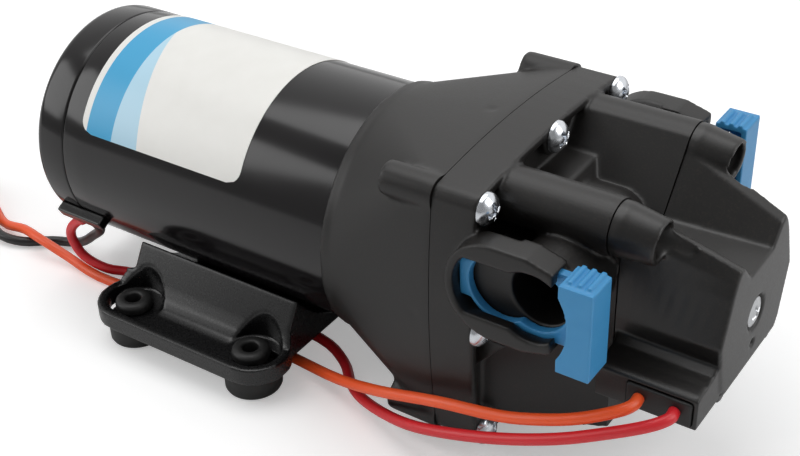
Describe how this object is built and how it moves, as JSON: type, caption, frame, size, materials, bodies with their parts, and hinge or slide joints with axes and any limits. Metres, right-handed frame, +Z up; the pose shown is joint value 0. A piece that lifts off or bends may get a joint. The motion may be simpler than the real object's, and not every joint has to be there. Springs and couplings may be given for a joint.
{
  "type": "caravan water pump",
  "caption": "Caravan diaphragm water pump: round motor on a rubber-footed bracket, square head with clip-locked side ports, pressure switch cap and flying leads.",
  "frame": {"origin": "centre of the four foot holes, on the floor", "axes": "+X along the motor axis towards the pump head, +Z up, the near port on the -Y side"},
  "size_m": [0.2935, 0.101, 0.0825],
  "materials": {
    "enamelled_steel": "gloss black enamel",
    "black_plastic": "moulded satin black plastic",
    "gloss_black_plastic": "moulded gloss black plastic",
    "black_rubber": "matt black rubber",
    "blue_plastic": "moulded blue plastic",
    "zinc_steel": "bright zinc plate",
    "steel": "ground steel",
    "cast_alloy": "die cast",
    "lamination_steel": "stacked sheet steel",
    "ferrite": "sintered ferrite",
    "copper": "enamelled copper wire",
    "bronze": "sintered bronze",
    "carbon": "pressed carbon",
    "brown_board": "phenolic board",
    "natural_nylon": "moulded nylon",
    "red_plastic": "moulded red plastic",
    "label_vinyl": "printed vinyl",
    "orange_pvc": "extruded orange PVC",
    "red_pvc": "extruded red PVC",
    "black_pvc": "extruded black PVC"
  },
  "bodies": {
    "pump_body": {"motor_can": "enamelled_steel", "rear_cap": "enamelled_steel", "front_plate": "cast_alloy", "field_magnets": "ferrite", "rear_bush": "bronze", "front_bearing": "steel", "brush_holder": "brown_board", "brushes": "carbon", "brush_springs": "bronze", "wire_block": "black_rubber", "label": "label_vinyl", "base_bracket": "gloss_black_plastic", "bracket_screws": "zinc_steel", "foot_rear_near": "black_rubber", "foot_rear_far": "black_rubber", "foot_front_near": "black_rubber", "foot_front_far": "black_rubber", "drive_housing": "black_plastic", "diaphragm": "black_rubber", "valve_plate": "natural_nylon", "inlet_valves": "black_rubber", "outlet_valves": "black_rubber", "head_seal": "black_rubber", "pump_head": "black_plastic", "head_screws": "zinc_steel", "switch_cap": "black_plastic", "cap_gasket": "black_rubber", "cap_screws": "zinc_steel", "switch_diaphragm": "black_rubber", "pressure_spring": "steel", "microswitch": "black_plastic", "lead_grommet": "black_rubber", "orange_lead": "orange_pvc", "red_lead": "red_pvc", "black_lead": "black_pvc", "orange_coil": "orange_pvc", "black_coil": "black_pvc", "lead_tips": "copper", "coil_tie": "natural_nylon"},
    "armature": {"motor_shaft": "steel", "armature_core": "lamination_steel", "armature_winding": "copper", "commutator": "copper", "drive_cam": "cast_alloy"},
    "wobble": {"wobble_plate": "natural_nylon", "wobble_bearing": "steel", "pistons": "natural_nylon"},
    "near_clip": {"near_clip": "blue_plastic"},
    "far_clip": {"far_clip": "blue_plastic"},
    "adjuster": {"adjusting_screw": "steel"},
    "spring_seat": {"spring_seat": "steel"},
    "plunger": {"switch_plunger": "natural_nylon"},
    "button": {"switch_button": "red_plastic"}
  },
  "joints": [
    {"name": "armature_spin", "type": "hinge", "parent": "pump_body", "child": "armature", "pos_m": [0.0024, 0, 0.0428], "axis": [1, 0, 0], "continuous": true},
    {"name": "wobble_turn", "type": "hinge", "parent": "armature", "child": "wobble", "pos_m": [0.0624, 0, 0.0428], "axis": [0.9976, 0, 0.0698], "continuous": true, "deforming": ["diaphragm"]},
    {"name": "near_clip_slide", "type": "slide", "parent": "pump_body", "child": "near_clip", "axis": [1, 0, 0], "range_m": [0, 0.009]},
    {"name": "far_clip_slide", "type": "slide", "parent": "pump_body", "child": "far_clip", "axis": [1, 0, 0], "range_m": [0, 0.009]},
    {"name": "adjuster_turn", "type": "hinge", "parent": "pump_body", "child": "adjuster", "pos_m": [0.1374, 0, 0.0468], "axis": [1, 0, 0], "range_deg": [-370, 370]},
    {"name": "spring_seat_slide", "type": "slide", "parent": "pump_body", "child": "spring_seat", "axis": [1, 0, 0], "range_m": [-0.0007, 0.0007], "deforming": ["pressure_spring"]},
    {"name": "plunger_slide", "type": "slide", "parent": "pump_body", "child": "plunger", "axis": [1, 0, 0], "range_m": [0, 0.001], "stiffness_N_per_m": 1500, "deforming": ["pressure_spring", "switch_diaphragm"]},
    {"name": "button_slide", "type": "slide", "parent": "pump_body", "child": "button", "axis": [1, 0, 0], "range_m": [0, 0.001]}
  ],
  "couplings": [
    {"joint": "wobble_turn", "follows": "armature_spin", "ratio": -1},
    {"joint": "adjuster_turn", "follows": "spring_seat_slide", "rad_per_m": 8976},
    {"joint": "button_slide", "follows": "plunger_slide", "ratio": 1}
  ]
}
